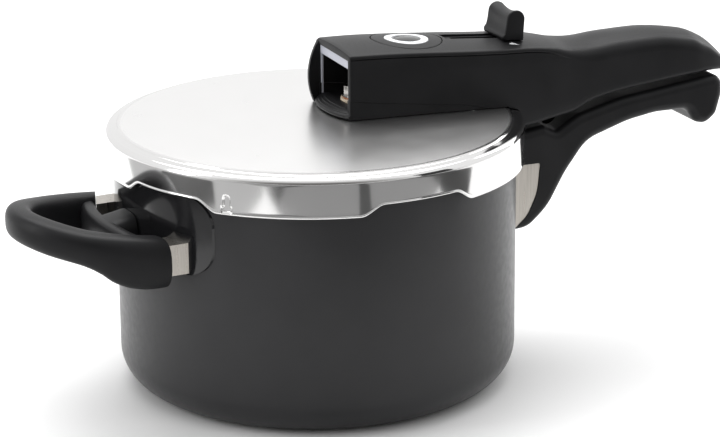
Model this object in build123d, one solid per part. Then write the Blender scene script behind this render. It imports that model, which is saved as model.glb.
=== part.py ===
from build123d import *
import math
import os

# Stovetop pressure cooker. Millimetres, +Z up, origin at the centre of the pot's base,
# +X along the long handles, -X through the side handle.

# ---------------------------------------------------------------- pot
pot_r = 112.0             # outer radius of the pot
pot_h = 141.0             # base to rim
pot_wall = 2.5
pot_floor = 6.0
pot_corner = 20.0         # outer radius between base and wall
base_foot = 1.0           # the base stands on a ring this deep
base_foot_w = 8.0

# ---------------------------------------------------------------- bayonet
lug_count = 5
lug_first = -118.5        # degrees, centre of the first lug
lug_angle = 28.0          # one pot lug, degrees
hook_angle = 26.0         # one lid hook, degrees
lug_reach = 3.2           # lug stands out of the wall
lug_low = 13.8            # rim to the lug's lower face
lug_t = 2.5
hook_gap = 0.5            # lug to hook, upright
hook_t = 1.2
skirt_gap = 0.3           # lug to skirt, radial
hook_clear = 1.6          # hook to pot wall, radial

# ---------------------------------------------------------------- lid
lid_t = 1.2
dome_rise = 10.0          # rim to the top of the dome
ledge_rise = 7.4          # rim to the dome's edge
ledge_in = 6.7            # dome edge, inward from the skirt's outside
shoulder_rise = 2.6       # rim to the top of the straight skirt
skirt_drop = 9.5          # rim to the skirt's lower edge between hooks
notch_angle = 34.0        # gap between deep skirt parts, degrees, at its lower edge
notch_ramp = 4.0          # degrees of slope at each end of a notch

# ---------------------------------------------------------------- pot handle
handle_w = 40.0
handle_round = 5.0
guard_t = 1.0
guard_gap = 0.15
bracket_w = 18.0
bolt_r = 2.0              # handle screws, shank
bolt_head_r = 4.0
bolt_head_t = 3.0
bolt_clear = 0.05

# ---------------------------------------------------------------- side handle
side_reach = 69.5         # pot wall to the tip
side_half = 54.0          # half its width
side_turn = 5.0           # degrees that it stands off the line of the long handles
side_bar = 15.0           # thickness of the loop at its tip
side_arm = 17.5           # thickness of its arms
side_root = 11.5          # pot wall to the back of the loop
side_post_w = 26.0
plate_t = 1.2
plate_half_deg = 35.0
plate_drop = 54.0         # rim to the plate's lower edge
side_guard_y = 44.0       # middle to each flame guard
side_guard_w = 15.0
side_guard_h = 17.0
side_bar_w = 9.0          # square bars inside the arms
side_bar_gap = 0.15

# ---------------------------------------------------------------- lid handle
shell_t = 3.0
floor_t = 4.0
seat_gap = 0.4            # lid handle to lid
part_line = 0.2           # gap between the handle's two shells
front_x = 11.0
mouth_w = 42.0
mouth_h = 26.4
mouth_low = 16.0          # rim to the mouth's lower edge
frame_t = 1.6
cheek_bulge = 6.0
cheek_r = 30.0            # the cheek's front edge is an arc of this radius
bar_h = 5.4               # pale bar over the outlet
screw_y = 20.0            # middle to the screws that join the shells

# ---------------------------------------------------------------- valves and indicator
valve_x = 26.0
valve_r = 6.0
valve_bore = 3.0
valve_lift = 3.0
disc_x = 55.0
disc_r = 20.0
disc_gap = 0.4
disc_ledge = 41.2         # rim to the ledge that the disc rests on
ring_r_out = 12.5
ring_r_in = 8.3
ring_t = 1.6
pin_rise = 8.0
pin_r = 2.5
fit_gap = 0.08            # running fits, radial
wire_r = 0.5

# ---------------------------------------------------------------- slider and lock
knob_x = 116.0
knob_seat = 41.9          # rim to the handle top under the knob
knob_w = 27.0
knob_t = 11.0
knob_h = 16.2
knob_gap = 0.4            # knob to handle top
slide_tilt = 4.2          # degrees, the handle top falls this much towards the grip
slider_travel = 28.0
stem_w = 4.4
stem_l = 8.4
slot_gap = 0.5
end_gap = 1.4             # stem to the slot's ends
track_w = 12.0
track_deep = 1.2
bar_w = 9.0
bar_t = 4.5
bar_deep = 14.5           # handle top to the bar's underside
bar_gap = 0.3             # bar to what touches it from below
bolt_gap = 0.9            # bar to the lock bolt's top
bolt_lock_r = 3.0
lock_drop = 9.0
lock_dx = 28.0            # skirt to the lock bolt
ball_r = 2.5

skirt_in = pot_r + lug_reach + skirt_gap
lid_r = skirt_in + lid_t
lug_top = pot_h - lug_low + lug_t
hook_top = pot_h - lug_low - hook_gap
hook_in = pot_r + hook_clear
pitch = 360.0 / lug_count
dome_r = lid_r - ledge_in
lid_clear = 0.5           # fixed parts stay this far outside the turning skirt
handle_floor = dome_rise + seat_gap + floor_t
lock_x = lid_r + lock_dx
guard_r_out = side_root + pot_r

# Lid handle sections: place, half width, and rim to bottom, side edge and crown.
# The first four places count from the pot's axis, the rest from the skirt.
near_sections = [
    (front_x, 25.0, -6.0, 45.5, 47.4),
    (30.0, 25.8, -6.0, 45.0, 47.6),
    (54.0, 26.0, -6.0, 43.6, 46.6),
    (80.0, 26.0, -6.0, 41.7, 44.6),
]
far_sections = [
    (-10.0, 24.5, -6.0, 39.8, 42.4),
    (2.0, 23.8, -5.6, 39.2, 41.7),
    (22.0, 22.5, -2.6, 37.4, 38.8),
    (34.0, 21.5, -0.6, 35.8, 37.2),
    (44.0, 20.8, 3.8, 35.6, 37.4),
    (63.0, 20.0, 7.6, 37.4, 39.0),
    (87.0, 20.0, 10.4, 38.0, 39.4),
    (112.0, 19.5, 12.8, 34.8, 36.4),
    (124.0, 18.0, 13.4, 28.8, 31.4),
    (133.0, 15.5, 12.8, 21.4, 24.0),
    (138.5, 11.0, 11.8, 14.8, 16.6),
]
section_foot = 4.0        # corner radius at the bottom of a section
section_edge = 3.0        # corner radius at its side edge

# Parting line of the lid handle in side view: place from the axis or skirt, rim to line.
part_near = [(front_x - 20.0, 23.0), (28.0, 18.6), (64.0, 14.2)]
part_far = [(-36.0, 12.2), (-22.0, 8.4), (-12.0, 4.4), (-7.0, 1.0), (-4.6, -5.0), (-4.0, -12.0)]

# Pot handle in side view, from the pot wall and from the rim, with corner radii.
pot_handle_outline = [
    (-3.0, -11.3, 0.5),
    (21.0, -7.6, 2.0),
    (29.0, -12.0, 3.0),
    (42.5, -3.8, 12.0),
    (70.0, 3.3, 60.0),
    (97.0, 6.8, 60.0),
    (136.0, 11.6, 6.5),
    (136.6, 0.0, 20.0),
    (133.0, -13.0, 8.0),
    (126.0, -18.2, 6.5),
    (119.0, -16.5, 6.5),
    (113.5, -7.8, 6.0),
    (93.0, -7.8, 40.0),
    (75.0, -10.8, 60.0),
    (48.5, -19.5, 22.0),
    (35.0, -37.5, 60.0),
    (24.5, -56.5, 40.0),
    (12.0, -67.5, 14.0),
    (-3.0, -69.0, 0.5),
]
guard_outline = [
    (-4.0, -29.0, 0.5),
    (18.0, -29.0, 1.5),
    (16.2, -47.0, 30.0),
    (10.0, -60.0, 16.0),
    (2.5, -66.4, 6.0),
    (-4.0, -67.8, 0.5),
]
# Side handle in side view, outward from the pot wall and from the rim, with corner radii.
side_outline = [
    (-20.0, -34.5, 1.0),
    (38.0, -27.5, 40.0),
    (71.0, -18.2, 5.5),
    (72.5, -27.0, 8.0),
    (68.0, -36.0, 7.0),
    (40.0, -43.5, 12.0),
    (29.0, -52.5, 12.0),
    (16.0, -59.0, 14.0),
    (-20.0, -57.0, 1.0),
]


def tube(r_out, r_in, z0, z1, x=0.0, y=0.0):
    """Upright tube or, with r_in of 0, a rod."""
    body = Pos(x, y, z0) * extrude(Circle(r_out), z1 - z0)
    if r_in > 0:
        body -= Pos(x, y, z0 - 1) * extrude(Circle(r_in), z1 - z0 + 2)
    return body


def block(x0, x1, y0, y1, z0, z1):
    """Box between two corners."""
    middle = Pos((x0 + x1) / 2, (y0 + y1) / 2, (z0 + z1) / 2)
    return middle * Box(x1 - x0, y1 - y0, z1 - z0)


def ring_sector(r_in, r_out, z0, z1, centre, width):
    """Part of a ring, width degrees wide, about centre degrees."""
    face = make_face(Polyline((r_in, 0, z0), (r_out, 0, z0), (r_out, 0, z1), (r_in, 0, z1), close=True))
    return Rot(0, 0, centre - width / 2) * revolve(face, Axis.Z, width)


def side_profile(points, start, half, sign=1.0):
    """Outline of (outward, up from the rim, corner radius), extruded to both sides of the middle."""
    corners = [(sign * (start + dx), 0, pot_h + dz) for dx, dz, r in points]
    radii = [r for dx, dz, r in points]
    with BuildLine() as line:
        FilletPolyline(*corners, radius=radii, close=True)
    return extrude(make_face(line.edges()), half, both=True)


def rounded_sides(body, radius):
    """Rounds the edges of a flat-sided body's two side faces."""
    sides = body.faces().sort_by(Axis.Y)
    edges = sides[0].edges() + sides[-1].edges()
    return fillet(edges, radius)


def coil_spring(x, z0, z1, r, turns):
    """Closed coil spring, standing on z0, with the wire inside z0 to z1."""
    height = z1 - z0 - 2 * wire_r
    path = Pos(x, 0, z0 + wire_r) * Helix(pitch=height / turns, height=height, radius=r)
    start = Plane(origin=path @ 0, z_dir=path % 0)
    return sweep(start * Circle(wire_r), path=path, is_frenet=True)


def dome_face(drop, r_edge):
    """Half section of the lid from its axis to the skirt's lower edge, drop inside its outside."""
    top = pot_h + dome_rise - drop
    edge = pot_h + ledge_rise - drop
    sag = (top - edge)
    r0 = dome_r - drop * 0.5
    mid = (r0 / 2, 0, top - sag / 4)
    skirt_r = r_edge - drop
    dome = ThreePointArc((0, 0, top), mid, (r0, 0, edge))
    step = Line((r0, 0, edge), (r0 + 0.4, 0, edge - 0.7))
    ledge_end = (skirt_r - 3.0, 0, edge - 1.6)
    ledge = Line((r0 + 0.4, 0, edge - 0.7), ledge_end)
    shoulder_z = pot_h + shoulder_rise - drop * 0.2
    shoulder = ThreePointArc(ledge_end, (skirt_r - 0.75, 0, (edge - 1.6 + shoulder_z) / 2 + 0.95),
                             (skirt_r, 0, shoulder_z))
    low = pot_h - lug_low - hook_gap - hook_t
    skirt = Line((skirt_r, 0, shoulder_z), (skirt_r, 0, low))
    closing = Polyline((skirt_r, 0, low), (0, 0, low), (0, 0, top))
    return make_face(dome.edges() + step.edges() + ledge.edges() + shoulder.edges() + skirt.edges()
                     + closing.edges())


def lid_block(drop=0.0, r_edge=None):
    """Solid with the lid's outer shape; drop makes it smaller all over."""
    return revolve(dome_face(drop, lid_r if r_edge is None else r_edge), Axis.Z)


def pot_body():
    outer = extrude(Circle(pot_r), pot_h)
    outer = fillet(outer.edges().group_by(Axis.Z)[0], pot_corner)
    inner = Pos(0, 0, pot_floor) * extrude(Circle(pot_r - pot_wall), pot_h)
    inner = fillet(inner.edges().group_by(Axis.Z)[0], pot_corner - pot_wall)
    body = outer - inner
    foot_in = pot_r - pot_corner - base_foot_w
    body -= Pos(0, 0, -1) * extrude(Circle(foot_in), base_foot + 1)
    for k in range(lug_count):
        body += ring_sector(pot_r - pot_wall / 2, pot_r + lug_reach, lug_top - lug_t, lug_top,
                            lug_first + k * pitch, lug_angle)
    return body


def lid_shell():
    body = lid_block() - lid_block(lid_t)
    low = hook_top - hook_t
    reach = lid_r + 5.0
    for k in range(lug_count):
        notch_at = lug_first + (k + 0.5) * pitch
        half_low = lid_r * math.sin(math.radians(notch_angle / 2))
        half_top = lid_r * math.sin(math.radians(notch_angle / 2 - notch_ramp))
        face = make_face(Polyline((0, -half_low - 1, low - 1), (0, half_low + 1, low - 1),
                                  (0, half_top, pot_h - skirt_drop), (0, -half_top, pot_h - skirt_drop),
                                  close=True))
        notch = extrude(face, reach, dir=(1, 0, 0))
        body -= Rot(0, 0, notch_at) * notch
        body += ring_sector(hook_in, skirt_in + lid_t / 2, low, hook_top, lug_first + k * pitch, hook_angle)
    body -= tube(valve_r + fit_gap, 0, pot_h, pot_h + dome_rise + 2, valve_x)
    body -= tube(valve_r + fit_gap, 0, pot_h, pot_h + dome_rise + 2, disc_x)
    return body


def lid_gasket():
    outer = skirt_in - 0.1
    inner = pot_r - pot_wall - 2.5
    low = pot_h + 0.3
    flange = tube(outer, inner, low, low + 1.8)
    bead = tube(skirt_in - 2.9, pot_r - pot_wall, low + 1.8, pot_h + ledge_rise - lid_t - 1.6)
    lip = tube(pot_r - pot_wall - 0.4, inner, low - 5.0, low)
    return flange + bead + lip


def handle_section(x, half, low, edge, crown):
    """One upright section of the lid handle across its length."""
    zb = pot_h + low
    ze = pot_h + edge
    zt = pot_h + crown
    foot = min(section_foot, (edge - low) * 0.4)
    soft = min(section_edge, (edge - low) * 0.4)
    s = math.sqrt(0.5)
    with BuildLine() as line:
        Line((x, -half + foot, zb), (x, half - foot, zb))
        ThreePointArc((x, half - foot, zb), (x, half - foot + foot * s, zb + foot - foot * s),
                      (x, half, zb + foot))
        Line((x, half, zb + foot), (x, half, ze - soft))
        ThreePointArc((x, half, ze - soft), (x, half - soft + soft * s, ze - soft + soft * s),
                      (x, half - soft, ze))
        ThreePointArc((x, half - soft, ze), (x, 0, zt), (x, -half + soft, ze))
        ThreePointArc((x, -half + soft, ze), (x, -half + soft - soft * s, ze - soft + soft * s),
                      (x, -half, ze - soft))
        Line((x, -half, ze - soft), (x, -half, zb + foot))
        ThreePointArc((x, -half, zb + foot), (x, -half + foot - foot * s, zb + foot - foot * s),
                      (x, -half + foot, zb))
    return make_face(line.edges())


def handle_stations():
    return near_sections + [(lid_r + dx, w, low, edge, crown) for dx, w, low, edge, crown in far_sections]


def handle_solid():
    """Lid handle's outside, with its forward cheek, before it is hollowed."""
    body = loft([handle_section(*s) for s in handle_stations()])
    low = pot_h + handle_floor - floor_t + 2.0
    high = pot_h + near_sections[0][3] - 1.0
    side = near_sections[0][1]
    middle = Pos(front_x - cheek_bulge + cheek_r, 0, (low + high) / 2)
    cheek = middle * Rot(90, 0, 0) * Cylinder(cheek_r, 2 * side)
    cheek &= block(front_x - cheek_bulge - 1, front_x + 3, mouth_w / 2, side, low, high)
    return body + cheek


def handle_cavity():
    """Space inside the lid handle, with a well in its floor for the slider's ramp."""
    stations = [s for s in handle_stations() if s[0] < lid_r + 100.0]
    sections = []
    for x, half, low, edge, crown in stations:
        start = x + (shell_t + 1 if x == front_x else 0)
        sections.append(handle_section(start, half - shell_t, handle_floor, edge - shell_t, crown - shell_t))
    half_well = bar_w / 2 + 1.5
    ramp_well = block(lock_x - bolt_lock_r - 4.0, lock_x + slider_travel + 12.0, -half_well, half_well,
                      pot_h + handle_floor - 3.0, pot_h + handle_floor + 3.0)
    return loft(sections) + ramp_well


def below_parting():
    """Everything below the parting line of the lid handle."""
    points = [(x, 0, pot_h + dz) for x, dz in part_near]
    points += [(lid_r + dx, 0, pot_h + dz) for dx, dz in part_far]
    last = points[-1]
    with BuildLine() as line:
        Spline(*points)
        Polyline(last, (last[0], 0, pot_h - 30), (points[0][0], 0, pot_h - 30), points[0])
    return extrude(make_face(line.edges()), 60.0, both=True)


def screw_places():
    """Four screws join the lid handle's shells."""
    return [(34.0, screw_y), (34.0, -screw_y), (74.0, screw_y), (74.0, -screw_y)]


def lid_space():
    """The lid's outside and its turning space, kept free by the lid handle."""
    return Pos(0, 0, seat_gap) * lid_block(0.0, lid_r + seat_gap)


def slide_frame():
    """Place of the slider: on the handle top at the knob, tilted as the top is."""
    return Pos(knob_x, 0, pot_h + knob_seat) * Rot(0, slide_tilt, 0)


def slider_slot():
    """Slot for the knob's stem, and the shallow track around it."""
    x0 = -slider_travel - stem_l / 2 - end_gap
    x1 = stem_l / 2 + end_gap
    half = stem_w / 2 + slot_gap
    slot = block(x0, x1, -half, half, -15, 20)
    track = block(x0 - 3, x1 + 4, -track_w / 2, track_w / 2, -track_deep, 20)
    return slide_frame() * (slot + track)


def bar_under(x):
    """Height of the slider bar's underside at x, before its ramp."""
    tilt = math.radians(slide_tilt)
    return pot_h + knob_seat - (x - knob_x) * math.tan(tilt) - bar_deep / math.cos(tilt)


def dome_under(x):
    """Height of the lid's underside at x."""
    return pot_h + dome_rise - lid_t - (dome_rise - ledge_rise) * (x / dome_r) ** 2


def outlet_opening(grow=0.0):
    return block(front_x - cheek_bulge - 5, front_x + shell_t + 3, -mouth_w / 2 - grow, mouth_w / 2 + grow,
                 pot_h + mouth_low - grow, pot_h + mouth_low + mouth_h + grow)


def handle_hollow():
    """Lid handle's outside with its cavity and lid space taken out, still in one piece."""
    body = handle_solid() - handle_cavity() - lid_space() - outlet_opening(frame_t)
    lug = make_face(Polyline((lock_x - 4.5, 0, pot_h - 6.4), (lock_x - 1.5, 0, pot_h - 7.0),
                             (lock_x + 5.0, 0, pot_h - 3.0), (lock_x + 5.0, 0, pot_h + 4.0),
                             (lock_x - 4.5, 0, pot_h + 4.0), close=True))
    body += extrude(lug, 22.0, both=True)
    return body


def detent_x():
    """The detent ball presses on the middle of the slider bar's run."""
    return knob_x - slider_travel / 2


def lid_handle_shell(hollow, solid):
    body = hollow - Pos(0, 0, part_line) * below_parting()
    ledge = pot_h + disc_ledge
    for x, y in screw_places():
        body += tube(4.0, 0, pot_h + handle_floor + 5.0, pot_h + 48.0, x, y) & solid
    body += tube(disc_r + 3.0, disc_r - 3.0, ledge - 2.5, ledge + 4.0, disc_x) & solid
    body += tube(bolt_lock_r + 3.0, 0, pot_h - 1.0, pot_h + 5.0, lock_x) & solid
    body += tube(ball_r + 2.5, 0, pot_h + handle_floor - 1.0, bar_under(detent_x()) - 2.0, detent_x())
    body -= tube(ball_r + 0.2, 0, pot_h + handle_floor + 1.0, pot_h + 30.0, detent_x())
    for x, y in screw_places():
        body -= tube(1.3, 0, pot_h, pot_h + 32.5, x, y)
    body -= slider_slot()
    body -= tube(disc_r + disc_gap, 0, ledge, pot_h + 70.0, disc_x)
    body -= tube(disc_r - 3.0, 0, ledge - 5, ledge + 1, disc_x)
    body -= tube(bolt_lock_r + fit_gap, 0, pot_h - 20, pot_h + 25.0, lock_x)
    body -= tube(5.6, 0, pot_h + 5.0, pot_h + handle_floor + 4.0, lock_x)
    return body


def lid_handle_base(hollow):
    body = hollow & below_parting()
    for x in (valve_x, disc_x):
        body -= tube(valve_r + fit_gap, 0, pot_h, pot_h + 40, x)
    for x, y in screw_places():
        body -= tube(1.6, 0, pot_h, pot_h + 40, x, y)
        body -= tube(3.1, 0, pot_h, pot_h + dome_rise + 2.4, x, y)
    return body


def lid_handle_screws():
    screws = []
    for x, y in screw_places():
        head = tube(2.8, 0, pot_h + dome_rise + 0.6, pot_h + dome_rise + 2.4, x, y)
        shank = tube(1.28, 0, pot_h + dome_rise + 2.4, pot_h + 32.0, x, y)
        screws.append(head + shank)
    return Compound(screws)


def outlet_frame():
    """Pale frame around the steam outlet."""
    half = mouth_w / 2
    top = pot_h + mouth_low + mouth_h + frame_t - 0.05
    outer = block(front_x + 0.4, front_x + shell_t + 1.6, 0.05 - half - frame_t, half + frame_t - 0.05,
                  pot_h + mouth_low + 0.5, top)
    inner = block(front_x - 1, front_x + shell_t + 5, -half, half, pot_h + mouth_low - 2, top - bar_h)
    return outer - inner


def valve_body(x, flange_r, top):
    """Threaded tube through the lid with its flange below."""
    under = dome_under(x + flange_r) - 0.02
    flange = tube(flange_r, valve_bore, under - 2.4, under, x)
    return flange + tube(valve_r, valve_bore, under - 0.5, pot_h + top, x)


def hex_nut(x, z0, height, across, bore):
    body = Pos(x, 0, z0) * extrude(RegularPolygon(across / 2, 6, major_radius=False), height)
    return body - tube(bore, 0, z0 - 1, z0 + height + 1, x)


def valve_plug():
    """Cream regulating plug that lifts to let steam out."""
    head_z = pot_h + 25.2
    stem = tube(valve_bore - fit_gap, 0, pot_h + 9.0, head_z, valve_x)
    head = tube(5.4, 0, head_z, head_z + 2.4, valve_x)
    nose = tube(2.2, 0, head_z + 2.4, head_z + 6.0, valve_x)
    return stem + head + nose


def indicator_pin():
    """Stem, spring collar and domed head of the pressure indicator."""
    head_r = ring_r_in - 0.35
    crown = pot_h + near_sections[2][4]
    stem = tube(pin_r, 0, pot_h + 9.0, crown - 3.0, disc_x)
    collar = tube(5.0, 0, pot_h + 20.0, pot_h + 21.6, disc_x)
    head = tube(head_r, 0, crown - 4.0, crown + 3.0, disc_x)
    ball = Pos(disc_x, 0, crown + 0.9 - 40.0) * Sphere(40.0)
    return stem + collar + (head & ball)


def indicator_disc(solid):
    """Round cover in the handle top, with a seat for the white ring and a hole for the pin."""
    crown = pot_h + near_sections[2][4]
    body = solid & tube(disc_r, 0, pot_h + disc_ledge + 0.4, pot_h + 70, disc_x)
    body -= tube(ring_r_out + 0.05, 0, crown - ring_t, pot_h + 70, disc_x)
    body -= tube(ring_r_in, 0, pot_h + 30, pot_h + 70, disc_x)
    return body


def indicator_ring(solid):
    crown = pot_h + near_sections[2][4]
    return solid & tube(ring_r_out, ring_r_in, crown - ring_t, pot_h + 70, disc_x)


def slider_knob():
    """Grip of the slider: an arch from the side, hollowed in front, with a saddle top."""
    half = knob_t / 2
    shoulder = knob_h - half
    toe = half + 2.0
    with BuildLine() as line:
        Polyline((-half, 0, shoulder), (-half, 0, 3), (-toe, 0, 1.5), (-toe, 0, knob_gap),
                 (half, 0, knob_gap), (half, 0, shoulder))
        ThreePointArc((half, 0, shoulder), (0, 0, knob_h), (-half, 0, shoulder))
    body = extrude(make_face(line.edges()), knob_w / 2, both=True)
    scoop_r = 40.0
    scoop = Pos(-half - scoop_r + 2.0, 0, 0) * Cylinder(scoop_r, 60.0)
    body -= scoop & block(-60, 0, -knob_w / 2, knob_w / 2, 3.0, 60)
    saddle_r = 60.0
    body -= Pos(0, 0, knob_h + saddle_r - 1.5) * Rot(0, 90, 0) * Cylinder(saddle_r, 60.0)
    body -= tube(1.25, 0, -1, 9.0)
    return slide_frame() * body


def slider_bar():
    """Bar inside the handle: stem up to the knob, and a ramp over the lock bolt."""
    low = -bar_deep
    high = low + bar_t
    start = lock_x - knob_x + 1.3
    tail = start + slider_travel + 5.0
    bar = block(-10, tail, -bar_w / 2, bar_w / 2, low, high)
    ramp = make_face(Polyline((start, 0, low + 1), (tail, 0, low + 1), (tail, 0, low - lock_drop),
                              (start + slider_travel, 0, low - lock_drop), (start, 0, low), close=True))
    bar += extrude(ramp, bar_w / 2 - 1.0, both=True)
    stem = block(-stem_l / 2, stem_l / 2, -stem_w / 2, stem_w / 2, high - 0.5, knob_gap)
    head_seat = tube(2.5, 0, low - 1, low + 1.8)
    return slide_frame() * (bar + stem - head_seat - tube(1.3, 0, low - 1, 20))


def slider_screw():
    """Screw that holds the knob on the bar, from below."""
    head = tube(2.4, 0, 0.3 - bar_deep, 1.7 - bar_deep)
    return slide_frame() * (head + tube(1.2, 0, 1.7 - bar_deep, 8.0))


def lock_bolt():
    """Bolt that the slider pushes down into the pot handle."""
    low = pot_h - 4.0
    top = bar_under(lock_x) - bolt_gap
    cap = Pos(lock_x, 0, top - 4.0) * Sphere(4.0) & tube(bolt_lock_r, 0, top - 4.0, top, lock_x)
    rod = tube(bolt_lock_r, 0, low, top - 1.5, lock_x)
    return rod + cap + tube(5.0, 0, top - 6.0, top - 4.4, lock_x)


def detent_ball_low():
    return bar_under(detent_x()) - bar_gap - 2 * ball_r - 0.1


def detent_ball():
    return Pos(detent_x(), 0, bar_under(detent_x()) - bar_gap - ball_r) * Sphere(ball_r)


def pot_handle():
    body = side_profile(pot_handle_outline, pot_r, handle_w / 2)
    body = rounded_sides(body, handle_round)
    body -= side_profile(guard_outline, pot_r + guard_gap, handle_w)
    body -= extrude(Circle(pot_r), pot_h + 5)
    body -= Pos(0, 0, hook_top - hook_t - lid_clear) * extrude(Circle(lid_r + lid_clear), 60)
    body -= tube(bolt_lock_r + 1.0, 0, pot_h - 4.0 - lock_drop - 3.0, pot_h + 20, lock_x)
    screw_z = pot_h - 41.0
    hole = Pos(pot_r + 20, 0, screw_z) * Rot(0, 90, 0) * Cylinder(bolt_r + 0.2, 60)
    head = Pos(pot_r + 24 + 30, 0, screw_z) * Rot(0, 90, 0) * Cylinder(bolt_head_r + 0.3, 60)
    return body - hole - head


def pot_handle_flame_guard():
    """Sheet channel between the pot and the handle's leg."""
    half = handle_w / 2 - 0.5
    body = side_profile(guard_outline, pot_r, half)
    inner = [(dx - guard_t if dx > 0 else dx - 8.0, dz + (guard_t if dz < -60 else -guard_t), r)
             for dx, dz, r in guard_outline]
    body -= side_profile(inner, pot_r, half - guard_t)
    body -= extrude(Circle(pot_r), pot_h)
    screw_z = pot_h - 41.0
    return body - Pos(pot_r + 20, 0, screw_z) * Rot(0, 90, 0) * Cylinder(bolt_r + 0.2, 60)


def pot_handle_bracket():
    """Steel block welded to the pot inside the guard."""
    screw_z = pot_h - 41.0
    body = block(pot_r - 5, pot_r + 13.0, -bracket_w / 2, bracket_w / 2, screw_z - 9.0, screw_z + 5.0)
    body -= extrude(Circle(pot_r), pot_h)
    return body - Pos(pot_r + 20, 0, screw_z) * Rot(0, 90, 0) * Cylinder(bolt_r + bolt_clear, 60)


def pot_handle_screw():
    screw_z = pot_h - 41.0
    shank = Pos(pot_r + 13.0, 0, screw_z) * Rot(0, 90, 0) * Cylinder(bolt_r, 22.0)
    head = Pos(pot_r + 24.0 + bolt_head_t / 2, 0, screw_z) * Rot(0, 90, 0)
    head *= Cylinder(bolt_head_r, bolt_head_t)
    slot = block(pot_r + 24.0 + bolt_head_t - 1.2, pot_r + 30, -0.5, 0.5, screw_z - 5, screw_z + 5)
    return shank + head - slot


def side_bracket_z():
    return pot_h - 44.5


def side_bars(half, reach):
    """Two square bars from the pot wall into the side handle's arms."""
    z = side_bracket_z()
    bars = []
    for sign in (1.0, -1.0):
        y = sign * side_guard_y
        bar = block(-guard_r_out - reach, -pot_r * 0.8, y - half, y + half, z - half, z + half)
        bars.append(bar - extrude(Circle(pot_r), pot_h))
    return bars


def side_screw_x():
    return -guard_r_out + 1.0


def side_handle():
    """Loop handle: an oval ring seen from above, pitched up towards its tip."""
    profile = side_profile(side_outline, pot_r, side_half + 10, -1.0)
    centre = -(pot_r + side_reach - 71.0)
    outer = Pos(centre, 0, 0) * extrude(Ellipse(71.0, side_half), pot_h)
    finger = Pos(centre - 8.0, 0, 0) * extrude(Ellipse(71.0 - 8.0 - side_bar, side_half - side_arm), pot_h)
    finger &= block(-pot_r - 90, -pot_r - side_root - 9.0, -60, 60, 0, pot_h)
    body = profile & (outer - finger)
    body -= extrude(Circle(guard_r_out), pot_h)
    body &= block(-pot_r - 90, -pot_r * math.cos(math.radians(plate_half_deg)) - 10.0, -80, 80, 0, pot_h)
    post_z = pot_h - 44.0
    post = block(-guard_r_out - 4.0, -pot_r, -side_post_w / 2, side_post_w / 2, post_z - 12.0, post_z + 14.0)
    post = fillet(post.edges().filter_by(Axis.X), 5.0)
    body += post - extrude(Circle(pot_r + plate_t), pot_h)
    for bar in side_bars(side_bar_w / 2 + side_bar_gap, 5.2):
        body -= bar
    for y in (side_guard_y, -side_guard_y):
        body -= tube(bolt_r + bolt_clear, 0, pot_h - 90, side_bracket_z(), side_screw_x(), y)
        body -= tube(bolt_head_r, 0, pot_h - 90, side_bracket_z() - 8.0, side_screw_x(), y)
    return body


def side_handle_brackets():
    """Two square bars welded to the pot, one in each arm of the side handle."""
    bars = side_bars(side_bar_w / 2, 5.0)
    places = (side_guard_y, -side_guard_y)
    holes = [tube(bolt_r + bolt_clear, 0, 0, pot_h, side_screw_x(), y) for y in places]
    return Compound([bar - hole for bar, hole in zip(bars, holes)])


def side_handle_screws():
    screws = []
    z0 = side_bracket_z() - 8.0
    for y in (side_guard_y, -side_guard_y):
        head = tube(bolt_head_r - 0.3, 0, z0 - bolt_head_t, z0, side_screw_x(), y)
        screws.append(head + tube(bolt_r, 0, z0, side_bracket_z() + 3.0, side_screw_x(), y))
    return Compound(screws)


def side_handle_flame_guards():
    """Two folded steel channels between the wall plate and the loop's arms."""
    z = side_bracket_z()
    half_w = side_guard_w / 2
    half_h = side_guard_h / 2
    guards = []
    for y in (side_guard_y, -side_guard_y):
        outer = block(-guard_r_out, -pot_r * 0.7, y - half_w, y + half_w, z - half_h, z + half_h)
        inner = block(-guard_r_out - 9, 0, y - half_w + guard_t, y + half_w - guard_t,
                      z - half_h + guard_t, z + half_h - guard_t)
        guard = (outer - inner) & extrude(Circle(guard_r_out - 0.2), pot_h)
        guards.append(guard - extrude(Circle(pot_r + plate_t), pot_h))
    return Compound(guards)


def side_handle_wall_plate():
    """Thin arched plate on the pot wall behind the side handle."""
    top = pot_h - skirt_drop - 0.3
    low = pot_h - plate_drop
    half = (pot_r + plate_t) * math.sin(math.radians(plate_half_deg))
    body = ring_sector(pot_r, pot_r + plate_t, low, top, 180.0, 2 * plate_half_deg + 10)
    arch = block(-2 * pot_r, 0, -half, half, low, top)
    arch = fillet(arch.edges().filter_by(Axis.X), 16.0)
    body &= arch
    for k in range(lug_count):
        body -= ring_sector(pot_r - 1, pot_r + lug_reach + 1, lug_top - lug_t - 0.2, lug_top + 0.2,
                            lug_first + k * pitch - side_turn, lug_angle + 1)
    for bar in side_bars(side_bar_w / 2 + side_bar_gap, 5.0):
        body -= bar
    return body


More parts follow.
